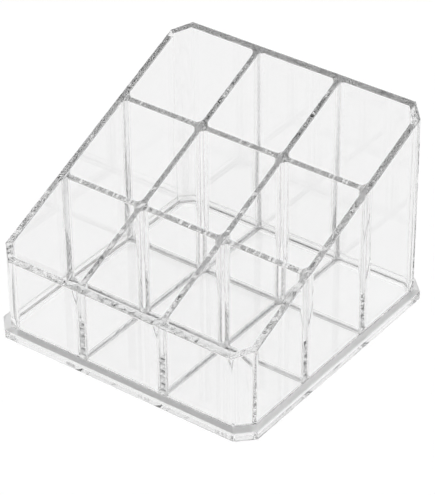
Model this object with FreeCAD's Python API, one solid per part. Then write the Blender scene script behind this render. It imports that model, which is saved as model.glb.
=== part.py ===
import FreeCAD, Part
import math
import os

# Clear vanity organizer with nine open pockets under one rim that slopes up from front to back.
# X runs to the right, Y to the back and Z up. The origin is the middle of the foot, on the table.

# Walls: spans over their outer faces, rim heights above the table at the front and back faces
wall_span_x = 92.0
wall_span_y = 92.0
front_height = 27.8
back_height = 67.1
corner_cut = 5.0
wall_thickness = 2.3

# Dividers, and the rounding of the pockets' upright corners and of the rim
divider_thickness = 1.9
pocket_radius = 1.8
rim_radius = 0.35

# Base plate with its bevelled foot. The pockets reach down into it, and it is hollow below their floors.
base_height = 4.0
foot_overhang = 1.5
foot_bevel_drop = 1.0
foot_chamfer = 0.2
hollow_height = 1.6
floor_thickness = 1.2

# Share of the pockets' depth in the base plate that the rounding of their floors' edges takes up
floor_rounding_share = 0.85

# How far from the bend in its inner face a corner panel is joined to a wall
joint_setback = 1.5

# Pockets across and from front to back, with the long and cross dividers between them
column_names = ("left", "middle", "right")
long_divider_names = ("left", "right")
cross_row_names = ("front", "back")
wall_names = ("front_wall", "front_right_corner", "right_wall", "back_right_corner",
              "back_wall", "back_left_corner", "left_wall", "front_left_corner")

# Places worked out from the sizes above
half_x = wall_span_x / 2
half_y = wall_span_y / 2
inner_x = half_x - wall_thickness
inner_y = half_y - wall_thickness
column_count = len(column_names)
row_count = len(cross_row_names) + 1
pocket_x = (2 * inner_x - (column_count - 1) * divider_thickness) / column_count
pocket_y = (2 * inner_y - (row_count - 1) * divider_thickness) / row_count

floor_level = hollow_height + floor_thickness
floor_radius = floor_rounding_share * (base_height - floor_level)

# An octagon set in by a wall's thickness has a corner cut shorter by this share of it
inset_cut_share = 2 - math.sqrt(2)
inner_cut = corner_cut - inset_cut_share * wall_thickness
joint_cut = inner_cut + joint_setback

# How near a point counts as lying on a level or on the rim
nearness = wall_thickness / 10000


def octagon(reach_x, reach_y, cut, z):
    """Corners of a rectangle with cut corners, from the front left one, seen from above anticlockwise."""
    return [FreeCAD.Vector(x, y, z) for x, y in (
        (cut - reach_x, -reach_y), (reach_x - cut, -reach_y),
        (reach_x, cut - reach_y), (reach_x, reach_y - cut),
        (reach_x - cut, reach_y), (cut - reach_x, reach_y),
        (-reach_x, reach_y - cut), (-reach_x, cut - reach_y))]


def flat_face(points):
    return Part.Face(Part.makePolygon(points + points[:1]))


def upright(face, z_low, z_high):
    """Solid over a plan face drawn at height zero."""
    solid = face.extrude(FreeCAD.Vector(0, 0, z_high - z_low))
    solid.translate(FreeCAD.Vector(0, 0, z_low))
    return solid


def upright_box(x_low, x_high, y_low, y_high):
    """Box as high as the walls over a rectangle of the plan."""
    return Part.makeBox(x_high - x_low, y_high - y_low, back_height - base_height,
                        FreeCAD.Vector(x_low, y_low, base_height))


def rim_height(y):
    """Height of the sloping rim at a place between the front and back faces."""
    return front_height + (back_height - front_height) * (y + half_y) / wall_span_y


def under_rim():
    """Space below the rim's plane, from the base plate up."""
    side = [FreeCAD.Vector(-half_x, y, z) for y, z in (
        (-half_y, base_height), (half_y, base_height), (half_y, back_height), (-half_y, front_height))]
    return flat_face(side).extrude(FreeCAD.Vector(wall_span_x, 0, 0))


def pocket_start(column, row):
    """Front left corner of a pocket in plan."""
    return column * (pocket_x + divider_thickness) - inner_x, row * (pocket_y + divider_thickness) - inner_y


def pocket_plan(column, row):
    """Plan of a pocket, with round corners, but cut where it lies in a corner of the organizer."""
    low_x, low_y = pocket_start(column, row)
    corners = [FreeCAD.Vector(x, y, 0) for x, y in (
        (low_x, low_y), (low_x + pocket_x, low_y),
        (low_x + pocket_x, low_y + pocket_y), (low_x, low_y + pocket_y))]
    turns = []
    for i, corner in enumerate(corners):
        arriving = (corner - corners[i - 1]).normalize()
        leaving = (corners[(i + 1) % len(corners)] - corner).normalize()
        outermost = math.isclose(abs(corner.x), inner_x) and math.isclose(abs(corner.y), inner_y)
        reach = inner_cut if outermost else pocket_radius
        first, last = corner - arriving * reach, corner + leaving * reach
        if outermost:
            turns.append(Part.LineSegment(first, last).toShape())
        else:
            between = corner + (leaving - arriving) * (pocket_radius * (1 - math.sqrt(0.5)))
            turns.append(Part.Arc(first, between, last).toShape())
    edges = []
    for i, turn in enumerate(turns):
        following = turns[(i + 1) % len(turns)]
        edges += [turn, Part.LineSegment(turn.Vertexes[-1].Point, following.Vertexes[0].Point).toShape()]
    return Part.Face(Part.Wire(edges))


def for_each_pocket(make):
    return [make(column, row) for column in range(column_count) for row in range(row_count)]


def pocket_room(column, row):
    """The space of a pocket, from its floor with rounded edges up past the rim."""
    room = upright(pocket_plan(column, row), floor_level, back_height)
    floor_edges = [edge for edge in room.Edges if edge.BoundBox.ZMax < floor_level + nearness]
    return room.makeFillet(floor_radius, floor_edges)


def lies_on_rim(edge):
    middle = edge.valueAt((edge.FirstParameter + edge.LastParameter) / 2)
    places = [vertex.Point for vertex in edge.Vertexes] + [middle]
    return all(abs(place.z - rim_height(place.y)) < nearness for place in places)


def walls_and_dividers():
    """All that stands on the base plate, in one, with the rim's edges rounded."""
    block = upright(flat_face(octagon(half_x, half_y, corner_cut, 0)), base_height, back_height)
    standing = block.common(under_rim()).cut(for_each_pocket(pocket_room))
    return standing.makeFillet(rim_radius, [edge for edge in standing.Edges if lies_on_rim(edge)])


def base_plate():
    """Plate that the pockets are sunk into, hollow inside the walls, with a bevelled foot beyond them."""
    levels = ((0, foot_overhang - foot_chamfer), (foot_chamfer, foot_overhang),
              (base_height - foot_bevel_drop, foot_overhang), (base_height, 0))
    rings = [octagon(half_x + out, half_y + out, corner_cut, z) for z, out in levels]
    faces = [flat_face(rings[0]), flat_face(rings[-1])]
    for low, high in zip(rings, rings[1:]):
        for i in range(len(low)):
            j = (i + 1) % len(low)
            faces.append(flat_face([low[i], low[j], high[j], high[i]]))
    hollow = upright(flat_face(octagon(inner_x, inner_y, inner_cut, 0)), 0, hollow_height)
    return Part.Solid(Part.Shell(faces)).cut(for_each_pocket(pocket_room) + [hollow])


def wall_rooms():
    """Space of each wall and of each corner panel, which reaches round its bends to square joints."""
    outer = octagon(half_x, half_y, corner_cut, 0)
    inner = octagon(inner_x, inner_y, inner_cut, 0)
    outer_joints = octagon(half_x, half_y, joint_cut + wall_thickness, 0)
    inner_joints = octagon(inner_x, inner_y, joint_cut, 0)
    rooms = {}
    for i, name in enumerate(wall_names):
        j = (i + 1) % len(outer)
        outside, inside = [], []
        if name.endswith("corner"):
            outside, inside = [outer[i], outer[j]], [inner[j], inner[i]]
        plan = [outer_joints[i]] + outside + [outer_joints[j], inner_joints[j]] + inside + [inner_joints[i]]
        rooms[name] = upright(flat_face(plan), base_height, back_height)
    return rooms


def long_divider_rooms():
    """Space of each divider from the front wall to the back wall, with the flares at its two ends."""
    rooms = {}
    for i, name in enumerate(long_divider_names):
        x_high, y_low = pocket_start(i + 1, 0)
        x_low = x_high - divider_thickness
        strip = upright_box(x_low, x_high, -inner_y, inner_y)
        ends = [upright_box(x_low - pocket_radius, x_high + pocket_radius, y, y + pocket_radius)
                for y in (-inner_y, inner_y - pocket_radius)]
        rooms[name + "_long_divider"] = strip.fuse(ends)
    return rooms


def cross_divider_rooms():
    """Space of each short divider between two long dividers or walls, with the flares at its two ends."""
    rooms = {}
    for i, row in enumerate(cross_row_names):
        for j, column in enumerate(column_names):
            x_low, y_high = pocket_start(j, i + 1)
            y_low = y_high - divider_thickness
            rooms[row + "_cross_divider_" + column] = upright_box(
                x_low, x_low + pocket_x, y_low - pocket_radius, y_high + pocket_radius)
    return rooms


def single_solid(shape):
    """The one solid of a finished piece."""
    assert len(shape.Solids) == 1 and shape.isValid()
    return shape.Solids[0]


def bonded(pieces):
    """The same pieces, each with its neighbours' outlines marked on the faces where they are bonded."""
    solids = [single_solid(shape) for shape in pieces.values()]
    marked = solids[0].generalFuse(solids[1:])[1]
    return {name: own[0] for name, own in zip(pieces, marked)}


standing = walls_and_dividers()
rooms = wall_rooms()
rooms.update(long_divider_rooms())
rooms.update(cross_divider_rooms())
pieces = {"base_plate": base_plate()}
pieces.update({name: standing.common(room) for name, room in rooms.items()})

os.makedirs("parts", exist_ok=True)
for name, shape in bonded(pieces).items():
    solid = single_solid(shape)
    solid.exportStep("parts/" + name + ".step")
    box = solid.BoundBox
    print(name, "volume", round(solid.Volume, 1), "mm3, box",
          [round(v, 2) for v in (box.XMin, box.YMin, box.ZMin, box.XMax, box.YMax, box.ZMax)])
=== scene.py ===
import math

import bmesh
import bpy
from mathutils import Matrix, Vector
from mathutils.bvhtree import BVHTree


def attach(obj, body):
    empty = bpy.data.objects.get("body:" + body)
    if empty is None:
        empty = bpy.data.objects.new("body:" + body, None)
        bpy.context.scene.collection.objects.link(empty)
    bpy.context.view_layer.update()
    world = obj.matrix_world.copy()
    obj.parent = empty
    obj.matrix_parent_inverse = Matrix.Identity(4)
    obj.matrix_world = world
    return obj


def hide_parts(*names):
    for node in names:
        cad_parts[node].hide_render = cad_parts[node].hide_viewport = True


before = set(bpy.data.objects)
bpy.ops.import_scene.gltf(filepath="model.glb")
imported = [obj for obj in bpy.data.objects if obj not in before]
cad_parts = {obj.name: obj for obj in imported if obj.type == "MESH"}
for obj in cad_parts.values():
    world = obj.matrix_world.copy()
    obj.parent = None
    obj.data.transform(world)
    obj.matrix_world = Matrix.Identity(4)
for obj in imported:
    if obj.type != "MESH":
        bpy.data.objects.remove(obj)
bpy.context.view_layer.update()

MM = 0.001

# Camera of the photograph: the picture's height and the focal length in pixels, the camera's direction,
# roll and distance, what it looks at, its sensor's width and the range in which it sees
IMAGE_HIGH = 495
FOCAL_PIXELS = 2470.7
AZIMUTH, ELEVATION, ROLL = math.radians(36.84), math.radians(34.355), math.radians(-0.521)
DISTANCE = 739.06 * MM
AIM_RIGHT, AIM_UP, AIM_HEIGHT = 1.59 * MM, -3.232 * MM, 27.661 * MM
SENSOR = 36.0
CLIP_START, CLIP_END = 0.01, 20

# Plastic: its index of refraction, and the scale and height of the waves in its faces, of the ripples in
# its rims and of the bars across the cross dividers' rims
PLASTIC_IOR = 1.49
WAVE_DETAIL = 1.0
WAVE_SCALE = 100.0
WAVE_HEIGHT = 0.01 * MM
RIPPLE_SCALE = 300.0
RIPPLE_HEIGHT = 0.4 * MM
BAR_SCALE = 400.0
BAR_HEIGHT = 0.7 * MM

# Foot's bevel: its satin roughness, the share of it that is clear, and its grey. The grey, carried by the
# share that is not clear, is painted shade standing in for the darker light the bevel refracts
BEVEL_ROUGHNESS = 0.4
BEVEL_CLEARNESS = 0.75
BEVEL_PAINTED_SHADE = 0.8

# Floor: its half width, the gap under the foot and its paint, and how bright it is in all, seen directly
# and seen in or through the plastic
FLOOR_HALF = 3.0
FLOOR_GAP = 0.05 * MM
FLOOR_PAINT = 0.38
FLOOR_SEEN = 1.02
FLOOR_THROUGH = 0.91

# Backdrop: its direction, its brightness against the sine of the elevation, and how fast its upper and
# lower parts fall off to the sides
BACKDROP_TURN = math.radians(116.84)
UPPER_BACKDROP = ((0.0, 0.0), (0.47, 0.0), (0.53, 1.0), (0.745, 1.0), (0.78, 0.0))
LOWER_BACKDROP = ((0.0, 0.15), (0.208, 0.4), (0.342, 0.75), (0.47, 0.9), (0.53, 0.0))
ALL_ROUND = ((0.0, 0.9), (0.03, 0.9), (0.08, 0.05), (0.1, 0.0), (0.92, 0.0), (0.95, 1.0))
UPPER_FALL, LOWER_FALL = 1.5, 4.5

# Light bounces: enough for the many clear faces that lie one behind the other
CLEAR_BOUNCES = 64
DIFFUSE_BOUNCES = 8

# Where the walls' outer faces, their cut corners and the rim's two ends are, and how deep the rounding
# of the rim reaches
WALL_FACE = 46.0 * MM
CORNER_CUT = 5.0 * MM
FRONT_RIM = 27.8 * MM
BACK_RIM = 67.1 * MM
RIM_DEPTH = 0.5 * MM

# How a face's normal tells a bonded face, the foot's bevel and a rim, and how near counts as touching
FACING_EACH_OTHER = -0.9
BEVEL_UPWARD = 0.5
RIM_UPWARD = 0.2
TOUCH = 0.02 * MM

# Meshes: how near points are merged, up to what angle faces are joined into one flat face, and from what
# angle an edge is sharp
MERGE_DISTANCE = 0.001 * MM
FLAT_ANGLE = math.radians(0.5)
EDGE_ANGLE = math.radians(25)

BODY = "root"


def make_camera():
    back = Vector((math.sin(AZIMUTH) * math.cos(ELEVATION),
                   -math.cos(AZIMUTH) * math.cos(ELEVATION), math.sin(ELEVATION)))
    right = (-back).cross(Vector((0, 0, 1))).normalized()
    up = right.cross(-back)
    aim = AIM_RIGHT * right + AIM_UP * up + Vector((0, 0, AIM_HEIGHT))
    turned_right = math.cos(ROLL) * right + math.sin(ROLL) * up
    turned_up = math.cos(ROLL) * up - math.sin(ROLL) * right
    data = bpy.data.cameras.new("camera")
    data.sensor_width = SENSOR
    data.lens = FOCAL_PIXELS * SENSOR / IMAGE_HIGH
    data.clip_start, data.clip_end = CLIP_START, CLIP_END
    camera = bpy.data.objects.new("camera", data)
    place = Matrix((turned_right, turned_up, back)).transposed().to_4x4()
    place.translation = aim + DISTANCE * back
    camera.matrix_world = place
    bpy.context.scene.collection.objects.link(camera)
    bpy.context.scene.camera = camera


def new_material(name):
    material = bpy.data.materials.new(name)
    material.use_nodes = True
    tree = material.node_tree
    return material, tree, tree.nodes["Principled BSDF"]


def clear_plastic(name, wave_scale, wave_height, direction=None, roughness=0.0, clearness=1.0, colour=1.0):
    """Clear plastic with the faint waves of a moulded surface, which run all ways or along one direction."""
    material, tree, plastic = new_material(name)
    # A colour below 1 with a clearness below 1 paints shade into the plastic; only the foot's bevel uses it
    plastic.inputs["Base Color"].default_value = (colour, colour, colour, 1)
    plastic.inputs["Transmission Weight"].default_value = clearness
    plastic.inputs["IOR"].default_value = PLASTIC_IOR
    plastic.inputs["Roughness"].default_value = roughness
    where = tree.nodes.new("ShaderNodeTexCoord")
    waves = tree.nodes.new("ShaderNodeTexNoise")
    waves.inputs["Scale"].default_value = wave_scale
    waves.inputs["Detail"].default_value = WAVE_DETAIL
    if direction:
        waves.noise_dimensions = "1D"
        split = tree.nodes.new("ShaderNodeSeparateXYZ")
        tree.links.new(where.outputs["Object"], split.inputs[0])
        tree.links.new(split.outputs[direction], waves.inputs["W"])
    else:
        tree.links.new(where.outputs["Object"], waves.inputs["Vector"])
    bump = tree.nodes.new("ShaderNodeBump")
    bump.inputs["Strength"].default_value = 1.0
    bump.inputs["Distance"].default_value = wave_height
    tree.links.new(waves.outputs["Fac"], bump.inputs["Height"])
    tree.links.new(bump.outputs["Normal"], plastic.inputs["Normal"])
    return material


def bond():
    """Lets light straight through, for faces on which two pieces are bonded."""
    material, tree, plastic = new_material("bonded_joint")
    tree.nodes.remove(plastic)
    through = tree.nodes.new("ShaderNodeBsdfTransparent")
    tree.links.new(through.outputs[0], tree.nodes["Material Output"].inputs["Surface"])
    return material


# The finishes of each piece, in the order of its mesh's slots
FINISHES = (
    clear_plastic("clear_plastic", WAVE_SCALE, WAVE_HEIGHT),
    bond(),
    # The foot's bevel: satin roughness plus a grey that is painted shade
    clear_plastic("clear_plastic_bevel_painted_shade", WAVE_SCALE, WAVE_HEIGHT,
                  roughness=BEVEL_ROUGHNESS, clearness=BEVEL_CLEARNESS, colour=BEVEL_PAINTED_SHADE),
    clear_plastic("clear_plastic_rim", RIPPLE_SCALE, RIPPLE_HEIGHT),
    clear_plastic("clear_plastic_cross_rim", BAR_SCALE, BAR_HEIGHT, direction="X"))
PLAIN, BONDED, BEVEL, RIM, CROSS_RIM = range(len(FINISHES))


def search_trees():
    """A search tree for each node."""
    found = {}
    for name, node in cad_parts.items():
        points = [vertex.co for vertex in node.data.vertices]
        found[name] = BVHTree.FromPolygons(points, [face.vertices for face in node.data.polygons])
    return found


def is_bonded(name, face, trees):
    """Whether another node's face lies against this one."""
    centre = face.calc_center_median()
    for other, tree in trees.items():
        if other == name:
            continue
        spot, normal = tree.find_nearest(centre, TOUCH)[:2]
        if spot is not None and normal.dot(face.normal) < FACING_EACH_OTHER:
            return True
    return False


def free_finish(name, face):
    """The finish of a face on which nothing is bonded.

    A face lies outward of the walls' octagon, on the foot, if it is past one of its sides or cut corners.
    """
    centre = face.calc_center_median()
    across, along = abs(centre.x), abs(centre.y)
    outward = max(across, along, across + along + CORNER_CUT - WALL_FACE)
    if outward > WALL_FACE + TOUCH and face.normal.z > BEVEL_UPWARD:
        # Faces of the foot's bevel get the satin finish with its painted grey shade
        return BEVEL
    rim = FRONT_RIM + (BACK_RIM - FRONT_RIM) * (centre.y + WALL_FACE) / (2 * WALL_FACE)
    if centre.z > rim - RIM_DEPTH and face.normal.z > RIM_UPWARD:
        return CROSS_RIM if "cross_divider" in name else RIM
    return PLAIN


def dress(name, trees):
    """Replace a node by a closed mesh of the same shape with the finish of each of its faces."""
    bm = bmesh.new()
    bm.from_mesh(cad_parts[name].data)
    bmesh.ops.remove_doubles(bm, verts=bm.verts, dist=MERGE_DISTANCE)
    bm.normal_update()
    for face in bm.faces:
        face.material_index = BONDED if is_bonded(name, face, trees) else free_finish(name, face)
    bmesh.ops.dissolve_limit(bm, angle_limit=FLAT_ANGLE, verts=bm.verts, edges=bm.edges,
                             delimit={"MATERIAL"})
    mesh = bpy.data.meshes.new(name + "_clear")
    bm.to_mesh(mesh)
    bm.free()
    for finish in FINISHES:
        mesh.materials.append(finish)
    mesh.shade_smooth()
    mesh.set_sharp_from_angle(angle=EDGE_ANGLE)
    piece = bpy.data.objects.new(name + "_clear", mesh)
    bpy.context.scene.collection.objects.link(piece)
    even = piece.modifiers.new("even", "WEIGHTED_NORMAL")
    even.keep_sharp = True
    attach(piece, BODY)
    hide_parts(name)


def feed(tree, socket, value):
    """Set a socket to a number, or link it to another node's output."""
    if isinstance(value, bpy.types.NodeSocket):
        tree.links.new(value, socket)
    else:
        socket.default_value = value


def math_node(tree, operation, first, second):
    """A Math node whose inputs are numbers or other nodes' outputs."""
    node = tree.nodes.new("ShaderNodeMath")
    node.operation = operation
    feed(tree, node.inputs[0], first)
    feed(tree, node.inputs[1], second)
    return node.outputs[0]


def ramp(tree, value, stops):
    """A brightness that follows a value through a list of places and levels."""
    node = tree.nodes.new("ShaderNodeValToRGB")
    tree.links.new(value, node.inputs["Fac"])
    elements = node.color_ramp.elements
    while len(elements) < len(stops):
        elements.new(1.0)
    for element, (position, level) in zip(elements, stops):
        element.position = position
        element.color = (level, level, level, 1)
    return node.outputs["Color"]


def mix_values(tree, factor, low, high):
    """Between two numbers or outputs, by a factor from 0 to 1."""
    node = tree.nodes.new("ShaderNodeMix")
    node.data_type = "FLOAT"
    feed(tree, node.inputs[0], factor)
    feed(tree, node.inputs[2], low)
    feed(tree, node.inputs[3], high)
    return node.outputs[0]


def make_floor():
    """A pale floor that keeps a soft shadow of the organizer."""
    mesh = bpy.data.meshes.new("floor")
    half, z = FLOOR_HALF, -FLOOR_GAP
    corners = [(-half, -half, z), (half, -half, z), (half, half, z), (-half, half, z)]
    mesh.from_pydata(corners, [], [(0, 1, 2, 3)])
    floor = bpy.data.objects.new("floor", mesh)
    bpy.context.scene.collection.objects.link(floor)
    material, tree, paint = new_material("floor_white")
    paint.inputs["Base Color"].default_value = (FLOOR_PAINT, FLOOR_PAINT, FLOOR_PAINT, 1)
    paint.inputs["Roughness"].default_value = 1.0
    paint.inputs["Specular IOR Level"].default_value = 0.0
    paint.inputs["Emission Color"].default_value = (1, 1, 1, 1)
    path = tree.nodes.new("ShaderNodeLightPath")
    seen = math_node(tree, "MAXIMUM", path.outputs["Is Glossy Ray"], path.outputs["Is Transmission Ray"])
    glow = math_node(tree, "MULTIPLY", seen, FLOOR_THROUGH - FLOOR_PAINT)
    glow = mix_values(tree, path.outputs["Is Camera Ray"], glow, FLOOR_SEEN - FLOOR_PAINT)
    tree.links.new(glow, paint.inputs["Emission Strength"])
    mesh.materials.append(material)


def make_world():
    """White where seen directly, an even white sky on the floor, and a lit backdrop in the plastic."""
    world = bpy.data.worlds.new("world")
    bpy.context.scene.world = world
    world.use_nodes = True
    tree = world.node_tree
    background = tree.nodes["Background"]
    where = tree.nodes.new("ShaderNodeTexCoord")
    split = tree.nodes.new("ShaderNodeSeparateXYZ")
    tree.links.new(where.outputs["Generated"], split.inputs[0])
    level = tree.nodes.new("ShaderNodeCombineXYZ")
    tree.links.new(split.outputs["X"], level.inputs["X"])
    tree.links.new(split.outputs["Y"], level.inputs["Y"])
    unit = tree.nodes.new("ShaderNodeVectorMath")
    unit.operation = "NORMALIZE"
    tree.links.new(level.outputs[0], unit.inputs[0])
    facing = tree.nodes.new("ShaderNodeVectorMath")
    facing.operation = "DOT_PRODUCT"
    tree.links.new(unit.outputs[0], facing.inputs[0])
    facing.inputs[1].default_value = (math.cos(BACKDROP_TURN), math.sin(BACKDROP_TURN), 0)
    half_facing = math_node(tree, "MULTIPLY", facing.outputs["Value"], 0.5)
    around = math_node(tree, "ADD", half_facing, 0.5)
    wide = math_node(tree, "POWER", around, UPPER_FALL)
    narrow = math_node(tree, "POWER", around, LOWER_FALL)
    upper = math_node(tree, "MULTIPLY", wide, ramp(tree, split.outputs["Z"], UPPER_BACKDROP))
    lower = math_node(tree, "MULTIPLY", narrow, ramp(tree, split.outputs["Z"], LOWER_BACKDROP))
    backdrop = math_node(tree, "ADD", upper, lower)
    studio = math_node(tree, "ADD", backdrop, ramp(tree, split.outputs["Z"], ALL_ROUND))
    path = tree.nodes.new("ShaderNodeLightPath")
    diffused = math_node(tree, "GREATER_THAN", path.outputs["Diffuse Depth"], 0.5)
    even = math_node(tree, "MAXIMUM", path.outputs["Is Camera Ray"], diffused)
    tree.links.new(mix_values(tree, even, studio, 1.0), background.inputs["Color"])


def set_light_paths():
    """Colours as written, sharp refraction, and light paths long enough for the clear pieces."""
    scene = bpy.context.scene
    scene.view_settings.view_transform = "Standard"
    scene.cycles.blur_glossy = 0
    scene.cycles.diffuse_bounces = DIFFUSE_BOUNCES
    scene.cycles.max_bounces = CLEAR_BOUNCES
    scene.cycles.transmission_bounces = CLEAR_BOUNCES
    scene.cycles.glossy_bounces = CLEAR_BOUNCES
    scene.cycles.transparent_max_bounces = CLEAR_BOUNCES


make_camera()
trees = search_trees()
for name in sorted(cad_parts):
    dress(name, trees)
make_floor()
make_world()
set_light_paths()
